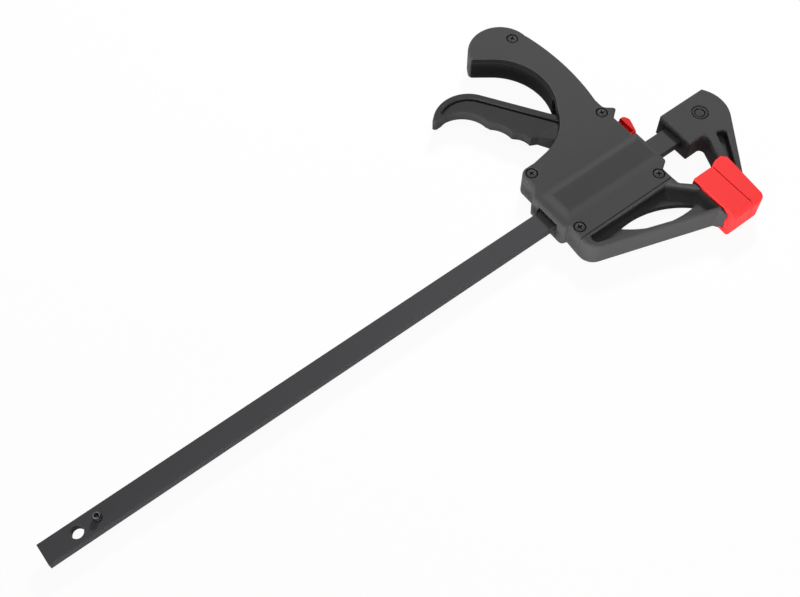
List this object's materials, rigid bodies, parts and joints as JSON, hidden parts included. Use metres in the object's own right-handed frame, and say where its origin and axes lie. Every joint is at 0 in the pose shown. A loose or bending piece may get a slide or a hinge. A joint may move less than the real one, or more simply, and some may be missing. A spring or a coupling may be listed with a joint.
{
  "type": "quick-release bar clamp",
  "caption": "One-handed bar clamp, closed: a pistol-grip housing with sliding jaw, trigger and release button runs on a flat bar with a fixed jaw at its end.",
  "frame": {"origin": "centre of the hanging hole near the bar's free end, on the bar's mid-plane", "axes": "+X along the bar from its free end to the fixed jaw, +Y across the bar towards the grip, +Z out of the front cover"},
  "size_m": [0.4773, 0.2035, 0.0218],
  "materials": {
    "bar_steel": "black oxide finish on a flat steel bar, satin",
    "pin_steel": "blackened rolled spring pin",
    "jaw_plastic": "fine-grained dark grey moulded nylon",
    "pad_plastic": "smooth bright red soft plastic",
    "bolt_steel": "dark plated bolt and nut",
    "housing_plastic": "fine-grained dark grey moulded nylon",
    "screw_steel": "dark zinc-plated pan-head screws",
    "spring_steel": "drawn spring wire",
    "plate_steel": "hardened steel plate, as stamped",
    "button_plastic": "smooth red moulded plastic"
  },
  "bodies": {
    "bar_assembly": {"bar": "bar_steel", "stop_pin": "pin_steel", "fixed_jaw": "jaw_plastic", "fixed_pad": "pad_plastic", "jaw_bolt": "bolt_steel", "jaw_nut": "bolt_steel"},
    "carriage": {"rear_housing": "housing_plastic", "front_cover": "housing_plastic", "sliding_pad": "pad_plastic", "cover_screw_grip": "screw_steel", "cover_screw_ear": "screw_steel", "cover_screw_corner": "screw_steel", "cover_screw_front": "screw_steel", "cover_screw_rear": "screw_steel", "trigger_pin": "plate_steel", "drive_spring": "spring_steel", "brake_spring": "spring_steel"},
    "trigger": {"trigger": "housing_plastic"},
    "drive_plate": {"drive_plate": "plate_steel"},
    "release_lever": {"brake_plate": "plate_steel", "release_button": "button_plastic"}
  },
  "joints": [
    {"name": "carriage_slide", "type": "slide", "parent": "bar_assembly", "child": "carriage", "axis": [1, 0, 0], "range_m": [-0.3, 0]},
    {"name": "trigger_hinge", "type": "hinge", "parent": "carriage", "child": "trigger", "pos_m": [0.3682, 0.03, 0], "axis": [0, 0, -1], "range_deg": [0, 20], "stiffness_Nm_per_rad": 0.6, "springref_deg": -17.19},
    {"name": "drive_plate_slide", "type": "slide", "parent": "carriage", "child": "drive_plate", "axis": [-1, 0, 0], "range_m": [0, 0.0049], "deforming": ["drive_spring"]},
    {"name": "release_hinge", "type": "hinge", "parent": "carriage", "child": "release_lever", "pos_m": [0.3889, -0.013, 0], "axis": [0, 0, 1], "range_deg": [0, 6.5], "stiffness_Nm_per_rad": 0.5, "springref_deg": -11.46, "deforming": ["brake_spring"]}
  ],
  "couplings": [
    {"joint": "drive_plate_slide", "follows": "trigger_hinge", "m_per_rad": 0.01403}
  ]
}
